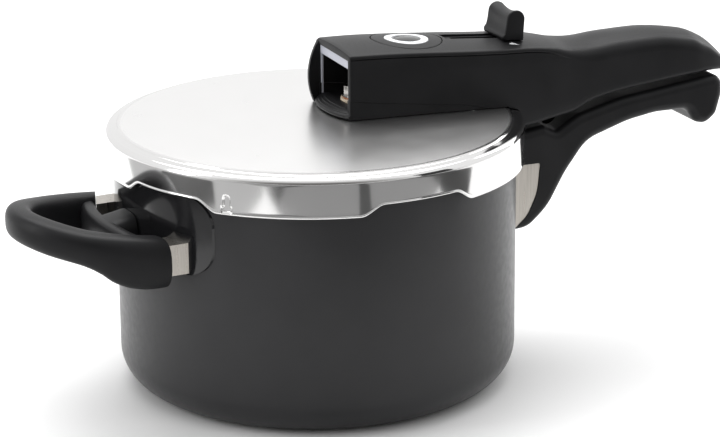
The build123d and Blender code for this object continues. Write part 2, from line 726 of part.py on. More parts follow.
def write_parts():
    os.makedirs("parts", exist_ok=True)
    solid = handle_solid()
    hollow = handle_hollow()
    z_floor = pot_h + handle_floor
    turn = Rot(0, 0, side_turn)
    nodes = {
        "pot_body": pot_body(),
        "pot_handle": pot_handle(),
        "pot_handle_bracket": pot_handle_bracket(),
        "pot_handle_flame_guard": pot_handle_flame_guard(),
        "pot_handle_screw": pot_handle_screw(),
        "side_handle": turn * side_handle(),
        "side_handle_wall_plate": turn * side_handle_wall_plate(),
        "side_handle_brackets": turn * side_handle_brackets(),
        "side_handle_flame_guards": turn * side_handle_flame_guards(),
        "side_handle_screws": turn * side_handle_screws(),
        "lid_shell": lid_shell(),
        "lid_gasket": lid_gasket(),
        "lid_handle_shell": lid_handle_shell(hollow, solid),
        "lid_handle_base": lid_handle_base(hollow),
        "lid_handle_screws": lid_handle_screws(),
        "outlet_frame": outlet_frame(),
        "valve_body": valve_body(valve_x, 10.0, 24.6),
        "valve_collar": tube(10.0, valve_r + fit_gap, z_floor + 0.05, z_floor + 2.0, valve_x),
        "valve_seal_ring": tube(8.6, valve_r + fit_gap, z_floor + 2.0, z_floor + 3.2, valve_x),
        "valve_washer": tube(9.4, valve_r + fit_gap, z_floor + 3.2, z_floor + 4.2, valve_x),
        "valve_nut": hex_nut(valve_x, z_floor + 4.2, 5.0, 15.0, valve_r + 0.02),
        "valve_plug": valve_plug(),
        "valve_spring": coil_spring(valve_x, pot_h + 27.7, pot_h + 44.0, 4.0, 6),
        "indicator_valve_body": valve_body(disc_x, 9.0, 18.6),
        "indicator_nut": hex_nut(disc_x, z_floor + 0.05, 3.6, 15.0, valve_r + 0.02),
        "indicator_pin": indicator_pin(),
        "indicator_spring": coil_spring(disc_x, pot_h + 21.7, pot_h + disc_ledge + 0.2, 4.0, 6),
        "indicator_disc": indicator_disc(solid),
        "indicator_ring": indicator_ring(solid),
        "slider_knob": slider_knob(),
        "slider_bar": slider_bar(),
        "slider_screw": slider_screw(),
        "detent_ball": detent_ball(),
        "detent_spring": coil_spring(detent_x(), z_floor + 1.0, detent_ball_low(), 1.9, 5),
        "lock_bolt": lock_bolt(),
        "lock_bolt_spring": coil_spring(lock_x, pot_h + 5.1, bar_under(lock_x) - bolt_gap - 6.1, 4.0, 4),
    }
    for name, body in nodes.items():
        export_step(body, f"parts/{name}.step")


write_parts()
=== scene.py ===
# %% [markdown]
# # A stovetop pressure cooker
# The cooker is a dark enamelled pot with a mirror-polished bayonet lid, and black moulded handles with a
# slider and a pressure indicator. The engineering model holds the sizes and the joints. This lesson
# builds the surfaces that a person sees around it, one piece at a time, and gives each one its finish.

# %% Load the engineering model
import math
import bpy
import bmesh
import numpy as np
from mathutils import Matrix, Vector


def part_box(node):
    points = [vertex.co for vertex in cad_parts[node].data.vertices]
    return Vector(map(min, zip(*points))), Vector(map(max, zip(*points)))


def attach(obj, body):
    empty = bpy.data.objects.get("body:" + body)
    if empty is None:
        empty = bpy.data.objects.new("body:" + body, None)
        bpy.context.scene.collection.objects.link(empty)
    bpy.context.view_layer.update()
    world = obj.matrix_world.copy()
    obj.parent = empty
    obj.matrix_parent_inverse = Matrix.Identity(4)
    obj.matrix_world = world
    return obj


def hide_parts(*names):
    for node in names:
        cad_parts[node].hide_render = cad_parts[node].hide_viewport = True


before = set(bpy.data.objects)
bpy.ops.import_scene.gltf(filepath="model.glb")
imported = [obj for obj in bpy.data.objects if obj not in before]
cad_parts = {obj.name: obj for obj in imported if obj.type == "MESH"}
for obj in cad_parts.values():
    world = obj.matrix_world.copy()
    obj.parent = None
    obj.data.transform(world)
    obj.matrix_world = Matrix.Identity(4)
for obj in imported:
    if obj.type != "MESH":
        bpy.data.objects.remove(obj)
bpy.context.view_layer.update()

# %% [markdown]
# ## Driving sizes
# Every size here is in millimetres, and every mesh is scaled to metres when it is made. The pot's rim
# height and the lid's radius are read from the engineering model, so the pieces stay on it. The other
# sizes are counted from the rim, upwards, and from the lid's or the pot's radius, outwards.

# %% Sizes read from the model
MM = 0.001
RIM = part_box("pot_body")[1].z / MM
LID_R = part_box("lid_shell")[1].x / MM
POT_R = LID_R - 4.7
DOME_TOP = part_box("lid_shell")[1].z / MM
SKIRT_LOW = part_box("lid_shell")[0].z / MM
print("rim", round(RIM, 2), "lid radius", round(LID_R, 2), "dome top", round(DOME_TOP, 2))

# %% [markdown]
# ## Small helpers
# A turned or moulded piece is a stack of closed rings of points with the same count, skinned with quads.
# A flat end is one face, which keeps a hollow outline right, and an end on an axis is a fan to one point.
# Shading is smooth across gentle turns and sharp where the angle is steep.

# %% Skin a stack of rings
def skin(name, rings, ends="flat", sharp_deg=35.0):
    """Closed mesh through equal rings of points in millimetres."""
    bm = bmesh.new()
    rows = [[bm.verts.new(Vector(p) * MM) for p in ring] for ring in rings]
    count = len(rows[0])
    for low, high in zip(rows, rows[1:]):
        for k in range(count):
            n = (k + 1) % count
            bm.faces.new((low[k], low[n], high[n], high[k]))
    for row, first in ((rows[0], True), (rows[-1], False)):
        if ends == "flat":
            bm.faces.new(row[::-1] if first else row)
        elif ends == "fan":
            middle = bm.verts.new(sum((v.co for v in row), Vector()) / count)
            for k in range(count):
                n = (k + 1) % count
                bm.faces.new((row[n], row[k], middle) if first else (row[k], row[n], middle))
    return finish_mesh(name, bm, sharp_deg)


def finish_mesh(name, bm, sharp_deg=35.0):
    """Turns a bmesh into an object at the origin, with faces outwards and smooth shading."""
    bmesh.ops.recalc_face_normals(bm, faces=bm.faces)
    mesh = bpy.data.meshes.new(name)
    bm.to_mesh(mesh)
    bm.free()
    piece = bpy.data.objects.new(name, mesh)
    bpy.context.scene.collection.objects.link(piece)
    smooth_by_angle(piece, sharp_deg)
    return piece


def smooth_by_angle(piece, sharp_deg=35.0):
    piece.data.polygons.foreach_set("use_smooth", [True] * len(piece.data.polygons))
    piece.data.set_sharp_from_angle(angle=math.radians(sharp_deg))


# %% Turn an outline about the upright axis
def turned(name, outline, x=0.0, y=0.0, steps=256, sharp_deg=35.0):
    """Revolves (radius, height) points; the first and last may lie on the axis."""
    angles = np.linspace(0, 2 * np.pi, steps, endpoint=False)
    rings = []
    for r, z in outline:
        if r > 1e-6:
            rings.append([(x + r * math.cos(a), y + r * math.sin(a), z) for a in angles])
    piece = skin(name, rings, "open", sharp_deg)
    bm = bmesh.new()
    bm.from_mesh(piece.data)
    for r, z in (outline[0], outline[-1]):
        if r <= 1e-6:
            level = near_height(outline, z)
            edges = [e for e in bm.edges if e.is_boundary and abs(e.verts[0].co.z / MM - level) < 1e-3]
            middle = bm.verts.new(Vector((x, y, z)) * MM)
            for edge in edges:
                bm.faces.new((edge.verts[0], edge.verts[1], middle))
    closed = [e for e in bm.edges if e.is_boundary]
    if closed:
        bmesh.ops.bridge_loops(bm, edges=closed)
    bmesh.ops.recalc_face_normals(bm, faces=bm.faces)
    bm.to_mesh(piece.data)
    bm.free()
    smooth_by_angle(piece, sharp_deg)
    return piece


def near_height(outline, z):
    """Height of the outline point next to the pole at height z."""
    return outline[1][1] if outline[0][1] == z and outline[0][0] <= 1e-6 else outline[-2][1]


def arc(cx, cy, r, start_deg, end_deg, count=8):
    """Points of a circular arc in the outline's plane."""
    angles = np.radians(np.linspace(start_deg, end_deg, count))
    return [(cx + r * math.cos(a), cy + r * math.sin(a)) for a in angles]


# %% Cut one piece with another
def combined(piece, tool, operation="DIFFERENCE", sharp_deg=35.0):
    """Boolean of two closed meshes; the tool is removed afterwards."""
    modifier = piece.modifiers.new("cut", "BOOLEAN")
    modifier.operation = operation
    modifier.solver = "EXACT"
    modifier.object = tool
    bpy.context.view_layer.update()
    evaluated = piece.evaluated_get(bpy.context.evaluated_depsgraph_get())
    mesh = bpy.data.meshes.new_from_object(evaluated)
    piece.modifiers.clear()
    old = piece.data
    piece.data = mesh
    bpy.data.meshes.remove(old)
    tool_mesh = tool.data
    bpy.data.objects.remove(tool)
    bpy.data.meshes.remove(tool_mesh)
    smooth_by_angle(piece, sharp_deg)
    return piece


def box_tool(low, high, round_mm=0.0, name="tool"):
    """Box between two corners, with all its edges rounded if asked."""
    bm = bmesh.new()
    bmesh.ops.create_cube(bm, size=1.0)
    centre = (Vector(low) + Vector(high)) / 2 * MM
    size = (Vector(high) - Vector(low)) * MM
    for v in bm.verts:
        v.co = Vector((v.co.x * size.x, v.co.y * size.y, v.co.z * size.z)) + centre
    if round_mm:
        bmesh.ops.bevel(bm, geom=bm.edges[:], offset=round_mm * MM, segments=4, affect="EDGES", profile=0.5)
    return finish_mesh(name, bm)


def clothe(piece, body, slot, material, *nodes):
    """Gives a piece its body, its finish and the nodes that it stands for. The slot argument is not used."""
    piece.data.materials.clear()
    piece.data.materials.append(material)
    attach(piece, body)
    if nodes:
        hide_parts(*nodes)
    print(piece.name, "has", len(piece.data.polygons), "faces on body", body)
    return piece


# %% [markdown]
# ## Finishes
# Each finish is a small node tree on the Principled shader. Noise on Object coordinates varies the
# roughness and raises a little relief, so no surface is one flat colour. Values that are the same all
# over are set straight on the shader's own sockets.

# %% A blank finish with its noise helpers
def finish_nodes(name, colour, roughness, metallic=0.0):
    material = bpy.data.materials.new(name)
    material.use_nodes = True
    nodes = material.node_tree.nodes
    links = material.node_tree.links
    shader = nodes["Principled BSDF"]
    shader.inputs["Base Color"].default_value = (*colour, 1.0)
    shader.inputs["Roughness"].default_value = roughness
    shader.inputs["Metallic"].default_value = metallic
    return material, nodes, links, shader


def object_noise(nodes, links, scale, detail=2.0, stretch=(1.0, 1.0, 1.0)):
    """Noise whose scale counts features per metre, stretched along the axes if asked."""
    place = nodes.new("ShaderNodeTexCoord")
    mapping = nodes.new("ShaderNodeMapping")
    mapping.inputs["Scale"].default_value = stretch
    noise = nodes.new("ShaderNodeTexNoise")
    noise.inputs["Scale"].default_value = scale
    noise.inputs["Detail"].default_value = detail
    links.new(place.outputs["Object"], mapping.inputs["Vector"])
    links.new(mapping.outputs["Vector"], noise.inputs["Vector"])
    return noise.outputs["Fac"]


def spread(nodes, links, source, low, high, socket, start=0.3, end=0.7):
    """Feeds a socket with source, mapped from start..end to low..high."""
    ranged = nodes.new("ShaderNodeMapRange")
    ranged.inputs["From Min"].default_value = start
    ranged.inputs["From Max"].default_value = end
    ranged.inputs["To Min"].default_value = low
    ranged.inputs["To Max"].default_value = high
    links.new(source, ranged.inputs["Value"])
    links.new(ranged.outputs["Result"], socket)


def tint(nodes, links, source, dark, light, socket, start=0.3, end=0.7):
    """Colours a socket between two colours along source."""
    ramp = nodes.new("ShaderNodeValToRGB")
    ramp.color_ramp.elements[0].position = start
    ramp.color_ramp.elements[1].position = end
    ramp.color_ramp.elements[0].color = (*dark, 1.0)
    ramp.color_ramp.elements[1].color = (*light, 1.0)
    links.new(source, ramp.inputs["Fac"])
    links.new(ramp.outputs["Color"], socket)


def relief(nodes, links, shader, source, depth_mm, strength=1.0, under=None):
    """Bump of a given depth on the shader, over another bump if one is given."""
    bump = nodes.new("ShaderNodeBump")
    bump.inputs["Strength"].default_value = strength
    bump.inputs["Distance"].default_value = depth_mm * MM
    links.new(source, bump.inputs["Height"])
    if under is not None:
        links.new(under, bump.inputs["Normal"])
    links.new(bump.outputs["Normal"], shader.inputs["Normal"])
    return bump.outputs["Normal"]


# %% [markdown]
# ### Enamel
# The pot is fired ceramic enamel on steel. It is dark grey, glossy and very slightly rippled, like orange
# peel. A thin clear coat over a softer base gives the sharp and the broad reflection that enamel has
# together.

# %% Enamel
def enamel_finish():
    material, nodes, links, shader = finish_nodes("fired_enamel", (0.016, 0.016, 0.017), 0.36)
    shader.inputs["Specular IOR Level"].default_value = 0.30
    shader.inputs["Coat Weight"].default_value = 0.08
    shader.inputs["Coat Roughness"].default_value = 0.10
    cloud = object_noise(nodes, links, 22.0, 3.0)
    tint(nodes, links, cloud, (0.014, 0.014, 0.0152), (0.019, 0.019, 0.0205), shader.inputs["Base Color"])
    ripple = object_noise(nodes, links, 260.0, 1.0)
    spread(nodes, links, ripple, 0.33, 0.40, shader.inputs["Roughness"])
    first = relief(nodes, links, shader, ripple, 0.05, 0.55)
    grit = object_noise(nodes, links, 1500.0, 2.0)
    relief(nodes, links, shader, grit, 0.01, 0.35, first)
    return material


ENAMEL = enamel_finish()

# %% [markdown]
# ### Steels
# The lid is pressed and mirror polished. Polishing leaves a faint wave and hair-thin marks, which show
# only as a slight variation in roughness. The flame guards are brushed: their noise is stretched into
# long streaks.

# %% Polished, brushed and turned steel
def polished_finish():
    material, nodes, links, shader = finish_nodes("polished_steel", (0.80, 0.795, 0.79), 0.07, 1.0)
    wave = object_noise(nodes, links, 45.0, 1.0)
    relief(nodes, links, shader, wave, 0.05, 0.25)
    haze = object_noise(nodes, links, 60.0, 4.0)
    centre = nodes.new("ShaderNodeTexCoord")
    flat = nodes.new("ShaderNodeVectorMath")
    flat.operation = "MULTIPLY"
    flat.inputs[1].default_value = (1.0, 1.0, 0.0)
    radius = nodes.new("ShaderNodeVectorMath")
    radius.operation = "LENGTH"
    links.new(centre.outputs["Object"], flat.inputs[0])
    links.new(flat.outputs["Vector"], radius.inputs[0])
    satin = nodes.new("ShaderNodeMapRange")
    satin.interpolation_type = "SMOOTHSTEP"
    satin.inputs["From Min"].default_value = (LID_R - 9.0) * MM
    satin.inputs["From Max"].default_value = (LID_R - 6.0) * MM
    satin.inputs["To Min"].default_value = 0.26
    satin.inputs["To Max"].default_value = 0.06
    links.new(radius.outputs["Value"], satin.inputs["Value"])
    grain = nodes.new("ShaderNodeMath")
    grain.operation = "MULTIPLY_ADD"
    grain.inputs[1].default_value = 0.05
    links.new(haze, grain.inputs[0])
    links.new(satin.outputs["Result"], grain.inputs[2])
    links.new(grain.outputs["Value"], shader.inputs["Roughness"])
    return material


def brushed_finish():
    material, nodes, links, shader = finish_nodes("brushed_steel", (0.46, 0.43, 0.39), 0.34, 1.0)
    streak = object_noise(nodes, links, 900.0, 3.0, (1.0, 1.0, 0.04))
    tint(nodes, links, streak, (0.40, 0.375, 0.34), (0.53, 0.50, 0.46), shader.inputs["Base Color"])
    spread(nodes, links, streak, 0.26, 0.42, shader.inputs["Roughness"])
    relief(nodes, links, shader, streak, 0.02, 0.5)
    return material


def turned_finish():
    material, nodes, links, shader = finish_nodes("turned_steel", (0.68, 0.67, 0.66), 0.18, 1.0)
    ring = object_noise(nodes, links, 1200.0, 2.0, (0.1, 0.1, 1.0))
    spread(nodes, links, ring, 0.12, 0.26, shader.inputs["Roughness"])
    relief(nodes, links, shader, ring, 0.01, 0.4)
    return material


def valve_finish():
    material, nodes, links, shader = finish_nodes("valve_steel", (0.16, 0.155, 0.15), 0.2, 1.0)
    cloud = object_noise(nodes, links, 320.0, 3.0)
    tint(nodes, links, cloud, (0.06, 0.058, 0.055), (0.30, 0.29, 0.28), shader.inputs["Base Color"])
    spread(nodes, links, cloud, 0.14, 0.30, shader.inputs["Roughness"])
    relief(nodes, links, shader, cloud, 0.02, 0.5)
    return material


POLISHED = polished_finish()
VALVE_STEEL = valve_finish()
BRUSHED = brushed_finish()
TURNED = turned_finish()

# %% [markdown]
# ### Moulded plastics, rubber and paint
# The handles are phenolic: matt black with a fine moulded grain. The wall plate is glossy. The outlet
# frame is pale grey, the valve's collar is cream, and the seals are silicone. One function makes them all
# from a colour, a gloss and a grain.

# %% Plastics and rubber
def moulded_finish(name, dark, light, rough, rough_spread, grain_per_m, grain_mm, shine=0.5):
    material, nodes, links, shader = finish_nodes(name, dark, rough)
    cloud = object_noise(nodes, links, 40.0, 3.0)
    tint(nodes, links, cloud, dark, light, shader.inputs["Base Color"])
    grain = object_noise(nodes, links, grain_per_m, 2.0)
    spread(nodes, links, grain, rough - rough_spread, rough + rough_spread, shader.inputs["Roughness"])
    relief(nodes, links, shader, grain, grain_mm, 0.5)
    shader.inputs["Specular IOR Level"].default_value = shine
    return material


PHENOLIC = moulded_finish("black_phenolic", (0.0075, 0.0075, 0.0083), (0.0115, 0.0115, 0.0125),
                          0.42, 0.04, 1400.0, 0.03, 0.20)
GLOSS = moulded_finish("gloss_black", (0.010, 0.010, 0.011), (0.013, 0.013, 0.014), 0.10, 0.02, 300.0, 0.01)
PALE = moulded_finish("outlet_grey", (0.47, 0.48, 0.54), (0.53, 0.54, 0.60), 0.45, 0.04, 900.0, 0.02)
CREAM = moulded_finish("valve_cream", (0.66, 0.55, 0.41), (0.74, 0.63, 0.49), 0.40, 0.05, 700.0, 0.02)
SEAL = moulded_finish("orange_silicone", (0.30, 0.10, 0.035), (0.38, 0.14, 0.05), 0.50, 0.05, 600.0, 0.03)
SILICONE = moulded_finish("grey_silicone", (0.22, 0.23, 0.24), (0.27, 0.28, 0.29), 0.50, 0.05, 500.0, 0.03)
WHITE = moulded_finish("white_ring", (0.74, 0.75, 0.77), (0.80, 0.81, 0.83), 0.35, 0.03, 600.0, 0.01)
print("finishes:", len(bpy.data.materials))

# %% [markdown]
# ## Camera, light and floor
# The camera stands to the left of the front and a little above. It aims between the pot and its long
# handle, and its long lens keeps the upright lines parallel. Its place is given as an aim point, an
# azimuth, an elevation and a distance, all in the model's own frame.

# %% Camera
def place_camera():
    aim = Vector((0.0238, -0.0066, 0.0881))
    azimuth, elevation, distance = math.radians(-22.0), math.radians(17.54), 1.5
    back = Vector((math.sin(azimuth) * math.cos(elevation), -math.cos(azimuth) * math.cos(elevation),
                   math.sin(elevation)))
    data = bpy.data.cameras.new("camera")
    data.lens = 132.75
    data.sensor_width = 36.0
    camera = bpy.data.objects.new("camera", data)
    bpy.context.scene.collection.objects.link(camera)
    turn = back.to_track_quat("Z", "Y").to_matrix().to_4x4()
    roll = Matrix.Rotation(math.radians(-0.40), 4, "Z")
    camera.matrix_world = Matrix.Translation(aim + back * distance) @ turn @ roll
    bpy.context.scene.camera = camera
    return camera


camera = place_camera()
print("camera at", [round(v, 3) for v in camera.matrix_world.translation])

# %% [markdown]
# A polished lid shows its surroundings, so the room matters as much as the lamps. The world is white
# above and behind, and dark on the camera's side, which keeps the handles and the enamel deep. A large
# soft lamp hangs overhead, and narrower ones stand at both sides to draw the bright lines down the pot's
# edges. A skirt sees the floor in front of it, so grey cards and dark bands lie there, and they show only
# in reflections.

# %% World, lamps and boards
def soft_lamp(name, place, aim, size, power, tone=(1.0, 1.0, 1.0)):
    data = bpy.data.lights.new(name, "AREA")
    data.shape = "RECTANGLE"
    data.size, data.size_y = size
    data.energy = power
    data.color = tone
    lamp = bpy.data.objects.new(name, data)
    bpy.context.scene.collection.objects.link(lamp)
    facing = (Vector(place) - Vector(aim)).to_track_quat("Z", "Y").to_matrix().to_4x4()
    lamp.matrix_world = Matrix.Translation(Vector(place)) @ facing
    return lamp


def board(name, place, aim, size, shade):
    """Board that is seen only in reflections."""
    bm = bmesh.new()
    bmesh.ops.create_grid(bm, x_segments=1, y_segments=1, size=0.5)
    facing = (Vector(aim) - Vector(place)).to_track_quat("Z", "Y").to_matrix().to_4x4()
    for v in bm.verts:
        v.co = Vector((v.co.x * size[0], v.co.y * size[1], 0.0))
    bmesh.ops.transform(bm, matrix=Matrix.Translation(Vector(place)) @ facing, verts=bm.verts)
    piece = finish_mesh(name, bm)
    piece.data.materials.append(finish_nodes(name + "_cloth", (shade, shade, shade), 0.9)[0])
    piece.visible_camera = False
    piece.visible_shadow = False
    piece.visible_diffuse = False
    return piece


def studio_world():
    """Bright above and behind the object, darker from the side of the camera."""
    world = bpy.data.worlds.new("studio")
    bpy.context.scene.world = world
    world.use_nodes = True
    nodes, links = world.node_tree.nodes, world.node_tree.links
    place = nodes.new("ShaderNodeTexCoord")
    toward = nodes.new("ShaderNodeVectorMath")
    toward.operation = "DOT_PRODUCT"
    toward.inputs[1].default_value = (-0.37, -0.92, -0.05)
    ramp = nodes.new("ShaderNodeValToRGB")
    ramp.color_ramp.elements[0].position = 0.45
    ramp.color_ramp.elements[1].position = 0.92
    ramp.color_ramp.elements[0].color = (1.0, 1.0, 1.0, 1.0)
    ramp.color_ramp.elements[1].color = (0.16, 0.155, 0.15, 1.0)
    links.new(place.outputs["Generated"], toward.inputs[0])
    links.new(toward.outputs["Value"], ramp.inputs["Fac"])
    links.new(ramp.outputs["Color"], nodes["Background"].inputs["Color"])
    nodes["Background"].inputs["Strength"].default_value = 1.0


studio_world()
bpy.context.scene.view_settings.view_transform = "Standard"
middle = (0.0, 0.0, 0.1)
soft_lamp("overhead", (0.1, 0.5, 1.5), middle, (1.6, 1.2), 22.0)
soft_lamp("left_strip", (-1.3, 0.1, 0.5), middle, (0.35, 1.3), 5.0)
soft_lamp("right_strip", (1.2, 0.5, 0.5), middle, (0.35, 1.3), 5.0)
board("floor_card", (-0.35, -1.05, 0.004), (-0.35, -1.05, 1.0), (2.6, 1.3), 0.20)
board("floor_band_right", (0.42, -0.62, 0.008), (0.42, -0.62, 1.0), (0.16, 0.75), 0.02)
board("floor_band_middle", (0.02, -0.75, 0.008), (0.02, -0.75, 1.0), (0.05, 0.7), 0.04)
board("floor_card_left", (-0.80, 0.0, 0.004), (-0.80, 0.0, 1.0), (0.8, 0.79), 0.34)
board("floor_band_left", (-0.52, -0.02, 0.008), (-0.52, -0.02, 1.0), (0.10, 0.30), 0.03)
board("floor_band_front", (-0.36, -0.56, 0.008), (-0.36, -0.56, 1.0), (0.06, 0.30), 0.04)
board("dark_board_right", (0.95, -1.0, 0.45), middle, (0.5, 0.9), 0.02)


# %% Floor
def pale_floor():
    bm = bmesh.new()
    bmesh.ops.create_grid(bm, x_segments=1, y_segments=1, size=6.0)
    floor = finish_mesh("floor", bm)
    floor.data.materials.append(finish_nodes("pale_floor", (0.86, 0.86, 0.86), 0.6)[0])
    return floor


pale_floor()

# %% [markdown]
# ## The pot
# The pot is drawn and ironed steel, so its wall is one turned outline: a flat base with a shallow recess,
# a soft corner, a straight wall and a rounded rim, and the same again inside. Five bayonet lugs stand out
# just under the rim, and Geometry Nodes set them round the circle.

# %% Pot wall
def pot_outline():
    corner, wall, floor = 20.0, 2.5, 6.0
    foot = POT_R - corner
    out = [(0.0, 1.0), (foot - 9.5, 1.0), (foot - 8.5, 0.6), (foot - 7.6, 0.0)]
    out += arc(POT_R - corner, corner, corner, -90, 0, 20)
    out += [(POT_R, h) for h in np.linspace(30, RIM - 1.4, 12)]
    out += arc(POT_R - wall / 2, RIM - wall / 2, wall / 2, 15, 165, 8)
    inner = corner - wall
    out += [(POT_R - wall, RIM - 3.0), (POT_R - wall, floor + inner + 2.0)]
    out += arc(POT_R - corner, floor + inner, inner, 0, -90, 12)
    out += [(40.0, floor), (0.0, floor)]
    return out


pot = turned("pot", pot_outline(), steps=288)
clothe(pot, "pot", "enamel", ENAMEL, "pot_body")


# %% Ring of equal pieces with Geometry Nodes
def sector_block(r_in, r_out, low, high, width_deg, edge=0.35):
    """Block bent round the axis, centred on +X, with softened ends."""
    half = math.radians(width_deg / 2)
    cut = edge / r_out
    rings = []
    for a in np.concatenate(([-half], np.linspace(-half + cut, half - cut, 14), [half])):
        e = edge if abs(abs(a) - half) < 1e-6 else 0.0
        shape = [(r_in, low + e), (r_out - edge - e, low + e), (r_out - e, low + edge + e),
                 (r_out - e, high - edge - e), (r_out - edge - e, high - e), (r_in, high - e)]
        rings.append([(r * math.cos(a), r * math.sin(a), z) for r, z in shape])
    return skin("block", rings)


def around_axis(name, source, count, first_deg, material):
    """Copies source round the upright axis with a small node tree, and bakes the result."""
    tree = bpy.data.node_groups.new(name + "_tree", "GeometryNodeTree")
    count_in = tree.interface.new_socket("Count", in_out="INPUT", socket_type="NodeSocketInt")
    turn_in = tree.interface.new_socket("First turn", in_out="INPUT", socket_type="NodeSocketFloat")
    tree.interface.new_socket("Geometry", in_out="OUTPUT", socket_type="NodeSocketGeometry")
    make, link = tree.nodes.new, tree.links.new
    inputs, output = make("NodeGroupInput"), make("NodeGroupOutput")
    points, shape = make("GeometryNodePoints"), make("GeometryNodeObjectInfo")
    copies, index = make("GeometryNodeInstanceOnPoints"), make("GeometryNodeInputIndex")
    step, turn, plus = make("ShaderNodeMath"), make("ShaderNodeMath"), make("ShaderNodeMath")
    spin, real = make("ShaderNodeCombineXYZ"), make("GeometryNodeRealizeInstances")
    dress = make("GeometryNodeSetMaterial")
    shape.inputs["Object"].default_value = source
    step.operation, turn.operation, plus.operation = "DIVIDE", "MULTIPLY", "ADD"
    step.inputs[0].default_value = 2 * math.pi
    dress.inputs["Material"].default_value = material
    link(inputs.outputs["Count"], points.inputs["Count"])
    link(inputs.outputs["Count"], step.inputs[1])
    link(index.outputs["Index"], turn.inputs[0])
    link(step.outputs[0], turn.inputs[1])
    link(turn.outputs[0], plus.inputs[0])
    link(inputs.outputs["First turn"], plus.inputs[1])
    link(plus.outputs[0], spin.inputs["Z"])
    link(points.outputs["Points"], copies.inputs["Points"])
    link(shape.outputs["Geometry"], copies.inputs["Instance"])
    link(spin.outputs["Vector"], copies.inputs["Rotation"])
    link(copies.outputs["Instances"], real.inputs["Geometry"])
    link(real.outputs["Geometry"], dress.inputs["Geometry"])
    link(dress.outputs["Geometry"], output.inputs["Geometry"])
    values = {count_in.identifier: count, turn_in.identifier: math.radians(first_deg)}
    return baked(name, tree, values, source)


def baked(name, tree, values, source):
    """Runs a node tree on an empty mesh and keeps its result as a plain mesh."""
    piece = bpy.data.objects.new(name, bpy.data.meshes.new(name))
    bpy.context.scene.collection.objects.link(piece)
    modifier = piece.modifiers.new("nodes", "NODES")
    modifier.node_group = tree
    for identifier, value in values.items():
        modifier[identifier] = value
    bpy.context.view_layer.update()
    mesh = bpy.data.meshes.new_from_object(piece.evaluated_get(bpy.context.evaluated_depsgraph_get()))
    piece.modifiers.clear()
    old = piece.data
    piece.data = mesh
    bpy.data.meshes.remove(old)
    bpy.data.objects.remove(source)
    smooth_by_angle(piece)
    return piece


# %% Bayonet lugs and hooks
LUGS, FIRST_LUG = 5, -118.5
lug = sector_block(POT_R - 1.0, POT_R + 3.2, RIM - 13.8, RIM - 11.3, 28.0)
pot_lugs = around_axis("pot_lugs", lug, LUGS, FIRST_LUG, ENAMEL)
clothe(pot_lugs, "pot", "enamel", ENAMEL)
hook = sector_block(LID_R - 3.1, LID_R - 0.6, RIM - 15.5, RIM - 14.3, 26.0, 0.25)
lid_hooks = around_axis("lid_hooks", hook, LUGS, FIRST_LUG, POLISHED)
clothe(lid_hooks, "lid", "polished_steel", POLISHED)

# %% [markdown]
# ## The lid
# The lid is pressed from one sheet. From the middle outwards it is a very flat dome, a small step, a
# sloping ledge, a rounded shoulder and an upright skirt. The skirt is deep where it hides a lug and
# shallow between, so its lower edge is a function of the angle, and a turned outline alone can't make it.
# The sheet's edge is rolled slightly outwards, and one small keyhole dimple is the gasket's safety
# window.

# %% Lid sheet
LID_T = 1.2
NOTCH_DEG, RAMP_DEG = 34.0, 6.5


def skirt_edge(angle_deg):
    """Height of the skirt's lower edge at an angle."""
    pitch = 360.0 / LUGS
    away = abs((angle_deg - FIRST_LUG + pitch / 2) % pitch - pitch / 2)
    start = pitch / 2 - NOTCH_DEG / 2
    t = min(max((away - start) / RAMP_DEG, 0.0), 1.0)
    return SKIRT_LOW + (RIM - 9.5 - SKIRT_LOW) * t * t * (3 - 2 * t)


def dome_height(r):
    """Outside height of the dome at radius r."""
    edge = LID_R - 6.7
    return DOME_TOP - 2.6 * (r / edge) ** 2


def lid_outline():
    """Outside of the lid from near the axis to the top of the straight skirt."""
    edge = LID_R - 6.7
    out = [(r, dome_height(r)) for r in np.linspace(2.0, edge, 26)]
    top = dome_height(edge)
    out += [(edge + 0.25, top - 0.35), (edge + 0.5, top - 0.75), (edge + 1.0, top - 0.95)]
    out += [(LID_R - 4.2, top - 1.15), (LID_R - 3.2, top - 1.5)]
    out += arc(LID_R - 3.2, top - 4.7, 3.2, 82, 0, 10)
    return out


WINDOW_DEG, WINDOW_LOW, WINDOW_HIGH, WINDOW_R = -134.7, RIM - 13.6, RIM - 7.2, 2.6


def window_depth(angle, height):
    """How far the keyhole dimple is pressed in at a place on the skirt."""
    across = (math.degrees(angle) - WINDOW_DEG + 180.0) % 360.0 - 180.0
    across = math.radians(across) * LID_R
    beyond = max(WINDOW_LOW - height, height - WINDOW_HIGH, 0.0)
    width = WINDOW_R * (1.25 if height < WINDOW_LOW + 2.0 else 0.9)
    t = min(max((width - math.hypot(across, beyond)) / 1.1, 0.0), 1.0)
    return 1.3 * t * t * (3 - 2 * t)


